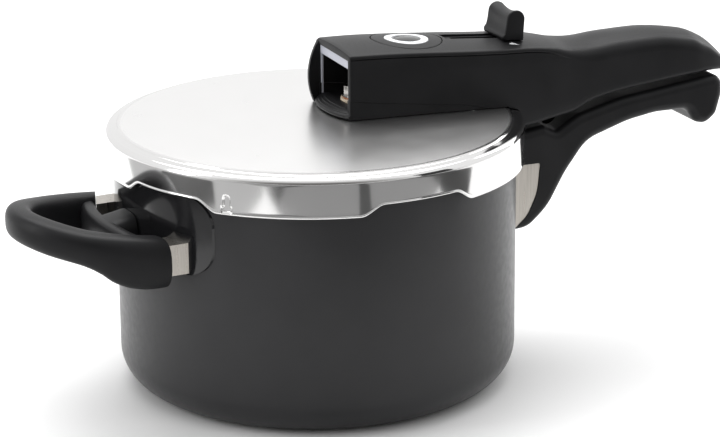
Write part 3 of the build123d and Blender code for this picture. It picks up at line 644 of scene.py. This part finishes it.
def lid_rings(steps=480):
    angles = np.linspace(0, 2 * np.pi, steps, endpoint=False)
    window = math.radians(WINDOW_DEG % 360.0)
    angles = np.unique(np.concatenate((angles, np.linspace(window - 0.045, window + 0.045, 31))))
    steps = len(angles)
    edges = np.array([skirt_edge(math.degrees(a)) for a in angles])
    rows = [(r, z, 0.0) for r, z in lid_outline()]
    top = rows[-1][1]
    for t in np.linspace(0.06, 0.9, 24):
        rows.append((LID_R, top, t))
    rows += [(LID_R + 0.10, top, 0.95), (LID_R + 0.18, top, 0.98)]
    rows += [(LID_R + 0.05, top, 1.0), (LID_R - 0.5, top, 1.004)]
    rows += [(LID_R - LID_T, top, 0.99), (LID_R - LID_T, top, 0.5), (LID_R - LID_T, top, 0.0)]
    rows += [(r - LID_T * 0.6, z - LID_T, 0.0) for r, z in lid_outline()[::-1][4:]]
    rings = []
    for r, z, t in rows:
        heights = z + (edges - top) * t if t else np.full(steps, z)
        reach = [r - (window_depth(a, h) if r == LID_R and t else 0.0) for a, h in zip(angles, heights)]
        rings.append([(q * math.cos(a), q * math.sin(a), h) for q, a, h in zip(reach, angles, heights)])
    return rings


lid = skin("lid", lid_rings(), "fan", 50.0)
clothe(lid, "lid", "polished_steel", POLISHED, "lid_shell")

# %% [markdown]
# ## The lid handle
# The lid handle is two moulded shells that carry the outlet, the valve and the slider. Its shape runs
# along its length, so it is given as stations: a place, a half width, and the heights of its bottom, its
# side edge and its crown. A smooth curve through the stations fills in between. One ring of points goes
# round each cross-section.

# %% Stations of the lid handle
FRONT = 11.0
NEAR = [(FRONT, 25.0, -6.0, 46.7, 47.8), (30.0, 25.8, -6.0, 46.2, 48.2), (54.0, 26.0, -6.0, 44.8, 47.5),
        (80.0, 26.0, -6.0, 42.9, 45.8)]
FAR = [(-10.0, 24.5, -6.0, 41.0, 43.7), (2.0, 23.8, -5.6, 40.4, 42.9), (22.0, 22.5, -2.6, 38.2, 39.8),
       (34.0, 21.5, -0.6, 36.0, 37.7), (44.0, 20.8, 3.8, 35.4, 37.4), (63.0, 20.0, 7.6, 37.0, 39.0),
       (87.0, 20.0, 10.4, 37.6, 39.4), (112.0, 19.5, 12.8, 34.4, 36.4), (124.0, 18.0, 13.4, 28.6, 31.4),
       (133.0, 15.5, 12.8, 21.2, 24.0), (137.2, 12.4, 12.2, 16.4, 18.6), (138.6, 10.2, 12.0, 14.2, 16.0)]
STATIONS = np.array(NEAR + [(LID_R + s[0], *s[1:]) for s in FAR])


def along(x):
    """Half width, bottom, side edge and crown of the handle at x, on a curve through the stations."""
    xs = STATIONS[:, 0]
    k = int(min(max(np.searchsorted(xs, x) - 1, 0), len(xs) - 2))
    step = xs[k + 1] - xs[k]
    t = (x - xs[k]) / step
    value = []
    for column in range(1, 5):
        ys = STATIONS[:, column]
        slopes = [slope_at(xs, ys, k), slope_at(xs, ys, k + 1)]
        a, b = ys[k], ys[k + 1]
        value.append((2 * t**3 - 3 * t**2 + 1) * a + (t**3 - 2 * t**2 + t) * step * slopes[0]
                     + (3 * t**2 - 2 * t**3) * b + (t**3 - t**2) * step * slopes[1])
    return value


def slope_at(xs, ys, k):
    """Slope of a smooth curve at station k that never overshoots its neighbours."""
    if k == 0 or k == len(xs) - 1:
        j = min(k, len(xs) - 2)
        return (ys[j + 1] - ys[j]) / (xs[j + 1] - xs[j])
    left = (ys[k] - ys[k - 1]) / (xs[k] - xs[k - 1])
    right = (ys[k + 1] - ys[k]) / (xs[k + 1] - xs[k])
    return 0.0 if left * right <= 0 else 2 * left * right / (left + right)


def shoulder_radius(x):
    """Rounding of the side's upper edge: tight over the lid, full in the grip."""
    t = min(max((x - 125.0) / 45.0, 0.0), 1.0)
    return 1.7 + 6.3 * t * t * (3 - 2 * t)


def crown_at(x, y):
    """Height of the handle's top surface."""
    half, low, edge, crown = along(x)
    return RIM + crown - (crown - edge) * min(abs(y) / (half - shoulder_radius(x)), 1.0) ** 2


print("handle half width at the outlet and the grip:", round(along(20)[0], 1), round(along(200)[0], 1))

# %% [markdown]
# A section goes from the middle of the bottom, round the foot, up the side, past a hair-fine joint line,
# over the shoulder and across the crown. The other half is its mirror image, so the handle is even.

# %% Cross-section rings
FOOT_R = 3.0


def half_section(x, half, low, edge, crown, groove):
    foot = min(FOOT_R, (edge - low) * 0.4)
    shoulder = min(shoulder_radius(x), (edge - low) * 0.45)
    points = [(y, low) for y in np.linspace(0.0, half - foot, 5)]
    points += arc(half - foot, low + foot, foot, -72, 0, 5)
    side_top = edge - shoulder
    seam = side_top - 0.8
    points += [(half, z) for z in np.linspace(low + foot, seam - 0.6, 7)[1:]]
    points += [(half - 0.1 * groove, seam - 0.35), (half - 0.7 * groove, seam)]
    points += [(half - 0.1 * groove, seam + 0.35)]
    points += [(half, seam + 0.6)]
    points += arc(half - shoulder, side_top, shoulder, 10, 72, 7)
    reach = half - shoulder
    for y in np.linspace(reach, 0.0, 12):
        points.append((min(y, half - shoulder * 0.85), crown - (crown - edge) * (y / reach) ** 2))
    return points


def section_ring(x, inset=0.0, low_inset=None, groove=0.0):
    half, low, edge, crown = along(x)
    low = low + (inset if low_inset is None else low_inset)
    points = half_section(x, half - inset, low, edge - inset, crown - inset, groove)
    ring = [(x, y, RIM + z) for y, z in points]
    ring += [(x, -y, RIM + z) for y, z in points[-2:0:-1]]
    return ring


def handle_rings(inset=0.0):
    """Rings of the outside, with a soft edge round the front."""
    end = STATIONS[-1, 0]
    places = list(np.arange(FRONT + 1.5, end - 6.0, 1.6)) + list(np.linspace(end - 6.0, end, 12))
    rings = [section_ring(FRONT, inset + 1.0), section_ring(FRONT + 0.35, inset + 0.3)]
    for x in places:
        groove = min(max((150.0 - x) / 25.0, 0.0), 1.0) * (inset == 0.0)
        rings.append(section_ring(x, inset, None, groove))
    last = rings[-1]
    middle = np.mean(np.array(last), axis=0)
    rings.append([tuple(middle + (np.array(p) - middle) * 0.82 + np.array((0.7, 0, 0))) for p in last])
    rings.append([tuple(middle + (np.array(p) - middle) * 0.45 + np.array((1.1, 0, 0))) for p in last])
    return rings


def outside(name, inset=0.0):
    """The handle's whole outer shape as one solid."""
    return skin(name, handle_rings(inset), "fan", 30.0)


print("points round the handle:", len(section_ring(50.0)))

# %% [markdown]
# The shells are cut from the outside shape: the hollow, the outlet, the slot, the seat of the round
# cover, the lid's own shape and the wavy parting line are all taken out of it with booleans, as a mould's
# cores would.

# %% Tools that cut the handle
DISC_X, COVER_R, COVER_GAP, COVER_LEDGE = 55.0, 20.0, 0.5, 41.2
HANDLE_WALL, SHELL_GAP, LOWER_INSET = 3.0, 0.2, 0.45
MOUTH_HALF, MOUTH_LOW, MOUTH_HIGH, FRAME_EDGE = 21.0, 14.4, 42.4, 1.1
SLIDE_X, SLIDE_Z, TILT = 116.0, 43.1, math.radians(4.2)


def tilted(piece):
    """Moves a piece from the slider's own frame to its place on the handle top."""
    seat = Vector((SLIDE_X, 0, RIM + SLIDE_Z)) * MM
    place = Matrix.Translation(seat) @ Matrix.Rotation(TILT, 4, "Y")
    piece.data.transform(place)
    return piece


def lid_tool():
    """The lid's outside, grown by the seat gap."""
    gap = 0.4
    outline = [(0.0, DOME_TOP + gap)] + [(r + gap * 0.5, z + gap) for r, z in lid_outline()]
    outline += [(LID_R + gap, RIM - 25.0), (0.0, RIM - 25.0)]
    return turned("lid_tool", outline, steps=240)


def hollow_tool():
    floor = DOME_TOP - RIM + 4.4
    rings = []
    for x in np.arange(FRONT + 4.0, 205.0, 4.0):
        low = along(x)[1]
        rings.append(section_ring(x, HANDLE_WALL, floor - low))
    return skin("hollow", rings, "flat")


def parting_tool(lift):
    """Everything below the parting line, which runs level and then dives at the rim."""
    line = [(FRONT - 25, 23.6), (FRONT, 21.0), (28, 18.6), (46, 16.4), (64, 14.2), (80, 12.2)]
    line += [(LID_R - 27, 10.0), (LID_R - 18, 7.0), (LID_R - 12, 4.4), (LID_R - 7.5, 1.4)]
    line += [(LID_R - 5, -3.0), (LID_R - 4, -12.0)]
    line += [(LID_R - 4, -30.0), (FRONT - 25, -30.0)]
    rings = [[(x, y, RIM + z + lift) for x, z in line] for y in (-60.0, 60.0)]
    return skin("parting", rings, "flat")


def mouth_tool(grow=0.0):
    """The outlet's opening, grown on three sides where the pale frame sits."""
    half = MOUTH_HALF + grow
    return box_tool((FRONT - 12, -half, RIM + MOUTH_LOW), (FRONT + 6.0, half, RIM + MOUTH_HIGH + grow))


def cheek():
    """The far side of the outlet bulges forward as a flat tongue with an arched front."""
    far, near, low, high, bulge = 25.0, 21.6, 4.6, 45.4, 6.0
    arch_r = (bulge ** 2 + ((high - low) / 2) ** 2) / (2 * bulge)
    reach = math.degrees(math.asin((high - low) / 2 / arch_r))
    front = arc(FRONT - bulge + arch_r, (low + high) / 2, arch_r, 180 - reach, 180 + reach, 20)
    outline = front + [(FRONT + 4.0, low), (FRONT + 4.0, high)]
    rings = []
    for y, inset in ((near, 0.3), (near + 0.3, 0.0), (far - 0.7, 0.0), (far - 0.2, 0.25), (far, 0.7)):
        rings.append([(x + (inset if x < FRONT else 0.0), y, RIM + z) for x, z in outline])
    return skin("cheek", rings)


# %% Upper and lower shell
def lid_handle_upper():
    piece = outside("lid_handle_top")
    combined(piece, parting_tool(SHELL_GAP))
    combined(piece, cheek(), "UNION")
    combined(piece, lid_tool())
    combined(piece, hollow_tool())
    combined(piece, mouth_tool(FRAME_EDGE))
    seat_r, seat_low, seat_high = COVER_R + COVER_GAP, RIM + COVER_LEDGE, RIM + 60.0
    seat = [(0.0, seat_low), (seat_r, seat_low), (seat_r, seat_high), (0.0, seat_high)]
    combined(piece, turned("seat", seat, x=DISC_X, steps=128))
    combined(piece, tilted(box_tool((-39.0, -5.6, -1.3), (9.6, 5.6, 20.0))))
    combined(piece, tilted(box_tool((-33.6, -2.7, -15.0), (5.6, 2.7, 5.0))), sharp_deg=30.0)
    return piece


def lid_handle_lower():
    piece = outside("lid_handle_bottom", LOWER_INSET)
    combined(piece, parting_tool(0.0), "INTERSECT")
    combined(piece, lid_tool())
    combined(piece, hollow_tool())
    combined(piece, mouth_tool(), sharp_deg=30.0)
    return piece


clothe(lid_handle_upper(), "lid", "phenolic", PHENOLIC, "lid_handle_shell")
clothe(lid_handle_lower(), "lid", "phenolic", PHENOLIC, "lid_handle_base")

# %% [markdown]
# The lower shell ends in a lip in front of the outlet. Its plan is a shallow arc, and its sloping top
# carries ridges that give a finger some hold. Geometry Nodes lay the ridges: a row of points climbs the
# slope, and one bent bar is put on each point.

# %% Lip in front of the outlet
LIP_OUT, LIP_HALF, LIP_LOW, LIP_TOP = 7.0, 24.4, 10.6, 15.6


def lip_front(y):
    """How far in front of the outlet the lip's edge stands at y."""
    return FRONT - LIP_OUT * (1 - (abs(y) / (LIP_HALF + 1.5)) ** 2.4)


def outlet_lip():
    rings = []
    for y in np.linspace(-LIP_HALF, LIP_HALF, 41):
        front = lip_front(y)
        soft = 1.0 + 1.6 * (abs(y) / LIP_HALF) ** 6
        rings.append([(FRONT + 5.0, y, RIM + LIP_LOW), (front + 1.4, y, RIM + LIP_LOW),
                      (front + 0.4, y, RIM + LIP_LOW + 0.5), (front, y, RIM + LIP_LOW + 1.4),
                      (front + 0.3, y, RIM + LIP_LOW + 2.1 - soft * 0.2),
                      (front + 1.0, y, RIM + LIP_LOW + 2.6 - soft * 0.2),
                      (FRONT + 1.2, y, RIM + LIP_TOP - soft * 0.3),
                      (FRONT + 5.0, y, RIM + LIP_TOP - soft * 0.3)])
    return skin("outlet_lip", rings, sharp_deg=40.0)


clothe(outlet_lip(), "lid", "phenolic", PHENOLIC)


# %% Ridges of the lip with Geometry Nodes
RIDGE_R = 0.45


def ridge_bar():
    """One thin bent bar, centred where the slope starts."""
    rings = []
    for y in np.linspace(-LIP_HALF + 3.0, LIP_HALF - 3.0, 33):
        x = lip_front(y) - lip_front(0.0)
        turns = np.linspace(0, 2 * np.pi, 8, False)
        rings.append([(x + RIDGE_R * math.cos(a), y, RIDGE_R * math.sin(a)) for a in turns])
    return skin("ridge_bar", rings)


def ridge_row(name, source, count, start, step, material):
    """Copies source along a straight row, each copy one step further."""
    tree = bpy.data.node_groups.new(name + "_tree", "GeometryNodeTree")
    count_in = tree.interface.new_socket("Count", in_out="INPUT", socket_type="NodeSocketInt")
    start_in = tree.interface.new_socket("Start", in_out="INPUT", socket_type="NodeSocketVector")
    step_in = tree.interface.new_socket("Step", in_out="INPUT", socket_type="NodeSocketVector")
    tree.interface.new_socket("Geometry", in_out="OUTPUT", socket_type="NodeSocketGeometry")
    make, link = tree.nodes.new, tree.links.new
    inputs, output = make("NodeGroupInput"), make("NodeGroupOutput")
    row, shape = make("GeometryNodeMeshLine"), make("GeometryNodeObjectInfo")
    copies, real = make("GeometryNodeInstanceOnPoints"), make("GeometryNodeRealizeInstances")
    dress = make("GeometryNodeSetMaterial")
    shape.inputs["Object"].default_value = source
    dress.inputs["Material"].default_value = material
    link(inputs.outputs["Count"], row.inputs["Count"])
    link(inputs.outputs["Start"], row.inputs["Start Location"])
    link(inputs.outputs["Step"], row.inputs["Offset"])
    link(row.outputs["Mesh"], copies.inputs["Points"])
    link(shape.outputs["Geometry"], copies.inputs["Instance"])
    link(copies.outputs["Instances"], real.inputs["Geometry"])
    link(real.outputs["Geometry"], dress.inputs["Geometry"])
    link(dress.outputs["Geometry"], output.inputs["Geometry"])
    values = {count_in.identifier: count, start_in.identifier: start, step_in.identifier: step}
    return baked(name, tree, values, source)


ridge_first = Vector((lip_front(0.0) + 2.2, 0.0, RIM + LIP_LOW + 2.8)) * MM
ridges = ridge_row("lip_ridges", ridge_bar(), 3, ridge_first, Vector((1.9, 0.0, 0.68)) * MM, PHENOLIC)
clothe(ridges, "lid", "phenolic", PHENOLIC)

# %% [markdown]
# A pale frame lines the outlet: a deep bar across its top and a thin edge down each side. The cut is
# The bar is bevelled all round, so it catches a bright line.

# %% Outlet frame
def outlet_lining():
    """Thin edge on three sides, and a deep bevelled bar across the top."""
    half, bar_low, bar_top = MOUTH_HALF + 1.0, RIM + 38.1, RIM + MOUTH_HIGH + 1.05
    piece = box_tool((FRONT + 1.2, -half, RIM + 14.6), (FRONT + 2.3, half, RIM + 43.4), name="outlet_lining")
    open_half = half - FRAME_EDGE
    combined(piece, box_tool((FRONT - 2.0, -open_half, RIM + 10.0), (FRONT + 9.0, open_half, RIM + 38.4)))
    combined(piece, box_tool((FRONT + 0.9, -half, bar_low), (FRONT + 5.2, half, bar_top), 0.55), "UNION")
    smooth_by_angle(piece, 30.0)
    return piece


clothe(outlet_lining(), "lid", "frame_grey", PALE, "outlet_frame")

# %% [markdown]
# ## The round cover, its white ring and the indicator
# These lie in the handle's top and follow its crown, so each one is a turned blank whose heights are read
# from the handle's own surface. The gap around the cover shows as a fine dark line.

# %% Discs that follow the crown
def crowned_disc(name, r_out, r_in, lift, thick, edge=0.5, steps=128):
    """Disc or ring round the indicator, its top lift above the crown, with a softened edge."""
    angles = np.linspace(0, 2 * np.pi, steps, endpoint=False)
    radii = [(r_out, -thick), (r_out, -edge), (r_out - edge * 0.3, -edge * 0.3), (r_out - edge, 0.0)]
    radii += [(r, 0.0) for r in np.linspace(r_out - edge, r_in + edge, 8)[1:]]
    radii += [(r_in + edge * 0.3, -edge * 0.3), (r_in, -edge), (r_in, -thick)]
    rings = []
    for r, drop in radii:
        ring = []
        for a in angles:
            x, y = DISC_X + r * math.cos(a), r * math.sin(a)
            flat = crown_at(DISC_X, 0.0) - thick
            ring.append((x, y, flat if drop == -thick else crown_at(x, y) + lift + drop))
        rings.append(ring)
    rings.append(rings[0])
    piece = skin(name, rings[:-1], "open")
    bm = bmesh.new()
    bm.from_mesh(piece.data)
    bmesh.ops.bridge_loops(bm, edges=[e for e in bm.edges if e.is_boundary])
    bmesh.ops.recalc_face_normals(bm, faces=bm.faces)
    bm.to_mesh(piece.data)
    bm.free()
    smooth_by_angle(piece, 40.0)
    return piece


cover = crowned_disc("round_cover", COVER_R, 12.65, 0.1, 4.0)
clothe(cover, "lid", "phenolic", PHENOLIC, "indicator_disc")
white_ring = crowned_disc("white_ring", 12.5, 8.35, 0.15, 1.6, 0.4)
clothe(white_ring, "lid", "white_mark", WHITE, "indicator_ring")

# %% [markdown]
# ## The slider's knob
# From the side the knob is an arch with a small toe in front. Its front is hollowed for the thumb and its
# top sags a little in the middle. Rings across its width carry that shape, and the last ones shrink to
# round the edges over.

# %% Knob
KNOB_T, KNOB_H, KNOB_HALF = 11.0, 17.3, 13.5


def curve_point(a, b, c, d, t):
    """Point at t on the smooth curve from a to d that b and c pull on."""
    a, b, c, d = (np.array(p) for p in (a, b, c, d))
    return a * (1 - t) ** 3 + 3 * b * t * (1 - t) ** 2 + 3 * c * t**2 * (1 - t) + d * t**3


def knob_ring(y, inset):
    half, middle_ness = KNOB_T / 2, 1 - (y / KNOB_HALF) ** 2
    top = KNOB_H - half - 2.0 * middle_ness
    points = [(half, -0.4), (half, top * 0.35), (half, top * 0.7)] + arc(0.0, top, half, 0, 150, 15)
    leave = (points[-1][0] - 1.1, points[-1][1] - 1.9)
    toe = (-half - 1.0, 3.0)
    arrive = (-half + 0.3 + 0.9 * middle_ness, 7.4)
    points += [tuple(curve_point(points[-1], leave, arrive, toe, t)) for t in np.linspace(0.09, 1.0, 11)]
    points += [(-half - 1.5, 2.6), (-half - 1.9, 1.9), (-half - 2.0, 1.1)]
    points += [(-half - 1.7, 0.2), (-half - 1.0, -0.4)]
    middle = np.array((-0.5, KNOB_H / 2))
    grown = []
    for p in points:
        away = np.array(p) - middle
        grown.append(tuple(middle + away * (1 - inset / np.linalg.norm(away))))
    return [(x, y, max(z, -0.4)) for x, z in grown]


def knob():
    places = [(KNOB_HALF, 1.0), (KNOB_HALF - 0.15, 0.55), (KNOB_HALF - 0.5, 0.18), (KNOB_HALF - 1.1, 0.0)]
    stations = [(-y, inset) for y, inset in places] + [(y, 0.0) for y in np.linspace(-11.6, 11.6, 13)]
    stations += [(y, inset) for y, inset in places[::-1]]
    return tilted(skin("knob", [knob_ring(y, inset) for y, inset in stations], sharp_deg=40.0))


clothe(knob(), "slider", "phenolic", PHENOLIC, "slider_knob")

# %% [markdown]
# ## The side handle
# The side handle is a loop seen from above. Sections are swept round it from one root over the tip to the
# other root: each is a rounded blade, tall and full at the roots and slimmer at the tip. A cross bar
# closes the loop near the pot, and a post joins it to the wall plate. Booleans join the three and cut the
# roots to the guards' ends.

# %% Rounded blade sections along a path
SIDE_TOP = [(-16.0, -34.0), (10.0, -31.0), (38.0, -27.0), (60.0, -21.5), (72.0, -19.0)]
SIDE_LOW = [(-16.0, -59.5), (8.0, -60.0), (18.0, -58.6), (27.0, -54.6), (33.0, -49.5), (40.0, -45.2),
            (56.0, -40.0), (72.0, -34.0)]


def blade_ring(centre, across, half_w, low, high, power=2.9, count=40):
    """Superellipse standing on its narrow side at centre, its width along across."""
    ring = []
    for a in np.linspace(0, 2 * np.pi, count, endpoint=False):
        c, s = math.cos(a), math.sin(a)
        u = math.copysign(abs(c) ** (2 / power), c) * half_w
        v = math.copysign(abs(s) ** (2 / power), s) * (high - low) / 2
        ring.append((centre[0] + across[0] * u, centre[1] + across[1] * u, RIM + (low + high) / 2 + v))
    return ring


def eased(x, table):
    """Smooth value of a table of (place, value) at x."""
    xs, ys = np.array(table)[:, 0], np.array(table)[:, 1]
    k = int(min(max(np.searchsorted(xs, x) - 1, 0), len(xs) - 2))
    step = xs[k + 1] - xs[k]
    t = min(max((x - xs[k]) / step, 0.0), 1.0)
    a, b = slope_at(xs, ys, k) * step, slope_at(xs, ys, k + 1) * step
    return ((2 * t**3 - 3 * t**2 + 1) * ys[k] + (t**3 - 2 * t**2 + t) * a + (3 * t**2 - 2 * t**3) * ys[k + 1]
            + (t**3 - t**2) * b)


SIDE_HALF, SIDE_SCREW_Y, GUARD_END, SIDE_TURN = 54.0, 44.0, POT_R + 11.65, math.radians(5.0)


def side_loop():
    centre_x, reach, half = -POT_R + 1.5, 71.0, SIDE_HALF
    rings = []
    for turn in np.linspace(-100, 100, 97):
        a = math.radians(turn)
        outer = np.array((centre_x - reach * math.cos(a), half * math.sin(a)))
        normal = np.array((math.cos(a) / reach, -math.sin(a) / half))
        normal = normal / np.linalg.norm(normal)
        width = 7.3 + 1.45 * math.sin(a) ** 2
        centre = outer + normal * width
        outward = -centre[0] - POT_R
        rings.append(blade_ring(centre, normal, width, eased(outward, SIDE_LOW), eased(outward, SIDE_TOP)))
    return skin("side_loop", rings, sharp_deg=45.0)


def cross_bar():
    rings = []
    for turn in np.linspace(-20, 20, 25):
        a = math.radians(180 + turn)
        along_r = np.array((math.cos(a), math.sin(a)))
        lift = 1.5 * math.cos(math.radians(turn * 4))
        rings.append(blade_ring(along_r * (GUARD_END + 4.4), along_r, 4.6, -57.0, -34.5 + lift, 3.4))
    return skin("cross_bar", rings, sharp_deg=45.0)


def side_post():
    rings = []
    for x in np.linspace(-POT_R - 15.5, -POT_R - 1.4, 10):
        lean = (x + POT_R + 15.5) * 0.12
        rings.append(blade_ring((x, 0.0), (0.0, 1.0), 13.0 - lean * 0.4, -56.0, -33.0 + lean * 1.6, 3.6, 48))
    return skin("side_post", rings, sharp_deg=45.0)


def side_handle_piece():
    piece = side_loop()
    combined(piece, cross_bar(), "UNION")
    below, above = RIM - 90, RIM + 5
    guard_end = [(0.0, below), (GUARD_END, below), (GUARD_END, above), (0.0, above)]
    combined(piece, turned("guard_end", guard_end, steps=240))
    combined(piece, side_post(), "UNION")
    recess_top, recess_r = RIM - 52.5, 4.0
    recess = [(0.0, below), (recess_r, below), (recess_r, recess_top), (0.0, recess_top)]
    for y in (-SIDE_SCREW_Y, SIDE_SCREW_Y):
        combined(piece, turned("recess", recess, 1.0 - GUARD_END, y, 48))
    piece.data.transform(Matrix.Rotation(SIDE_TURN, 4, "Z"))
    smooth_by_angle(piece, 32.0)
    piece.name = "side_loop_handle"
    return piece


clothe(side_handle_piece(), "pot", "phenolic", PHENOLIC, "side_handle")

# %% [markdown]
# ## Marks
# Two generic marks help the user: a white line on the lower shell, where the lid's place is read, and a
# small white triangle beside the knob. Each is a thin raised print on the surface.

# %% Printed marks
def print_strip(name, points, width, facing):
    """Thin flat strip through points in millimetres, standing 0.12 mm proud along facing."""
    facing = Vector(facing).normalized()
    rows = []
    for k, p in enumerate(points):
        q = points[min(k + 1, len(points) - 1)]
        o = points[max(k - 1, 0)]
        side = facing.cross((Vector(q) - Vector(o)).normalized()) * width / 2
        rows.append([Vector(p) + side + facing * 0.12, Vector(p) - side + facing * 0.12,
                     Vector(p) - side - facing * 0.2, Vector(p) + side - facing * 0.2])
    return skin(name, rows)


line_y = -along(88.0)[0] + 0.45
line_ends = [(84.8, line_y, RIM + 8.2), (90.9, line_y, RIM + 5.8)]
mark_line = print_strip("closing_mark", line_ends, 0.8, (0, -1, 0))
clothe(mark_line, "lid", "white_mark", WHITE)


def triangle_mark():
    """Small flat triangle on the crown, beside the knob."""
    places = [(111.0, -16.6), (116.5, -18.2), (113.4, -14.6)]
    corners = [(x, y, crown_at(x, y)) for x, y in places]
    rings = [[(x, y, z - 0.2) for x, y, z in corners], [(x, y, z + 0.1) for x, y, z in corners]]
    return skin("triangle_mark", rings)


clothe(triangle_mark(), "lid", "white_mark", WHITE)

# %% [markdown]
# ## Finishes of the pieces that stay as engineered
# Nuts, screws, springs, guards and the small valve pieces already have their true shapes in the
# engineering model. They stay, and only get their finish.

# %% Dress the remaining nodes
DRESS = {
    PHENOLIC: ["pot_handle", "slider_bar"],
    GLOSS: ["side_handle_wall_plate", "indicator_pin"],
    BRUSHED: ["pot_handle_flame_guard", "side_handle_flame_guards"],
    CREAM: ["valve_collar", "valve_plug"],
    VALVE_STEEL: ["valve_body", "valve_washer", "valve_nut", "valve_spring"],
    SEAL: ["valve_seal_ring"],
    SILICONE: ["lid_gasket"],
    TURNED: ["pot_handle_bracket", "pot_handle_screw", "side_handle_brackets", "side_handle_screws",
             "lid_handle_screws", "indicator_valve_body", "indicator_nut", "indicator_spring",
             "slider_screw", "detent_ball", "detent_spring", "lock_bolt", "lock_bolt_spring"],
}
for material, names in DRESS.items():
    for name in names:
        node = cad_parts[name]
        node.data.materials.clear()
        node.data.materials.append(material)
print("dressed", sum(len(names) for names in DRESS.values()), "nodes")
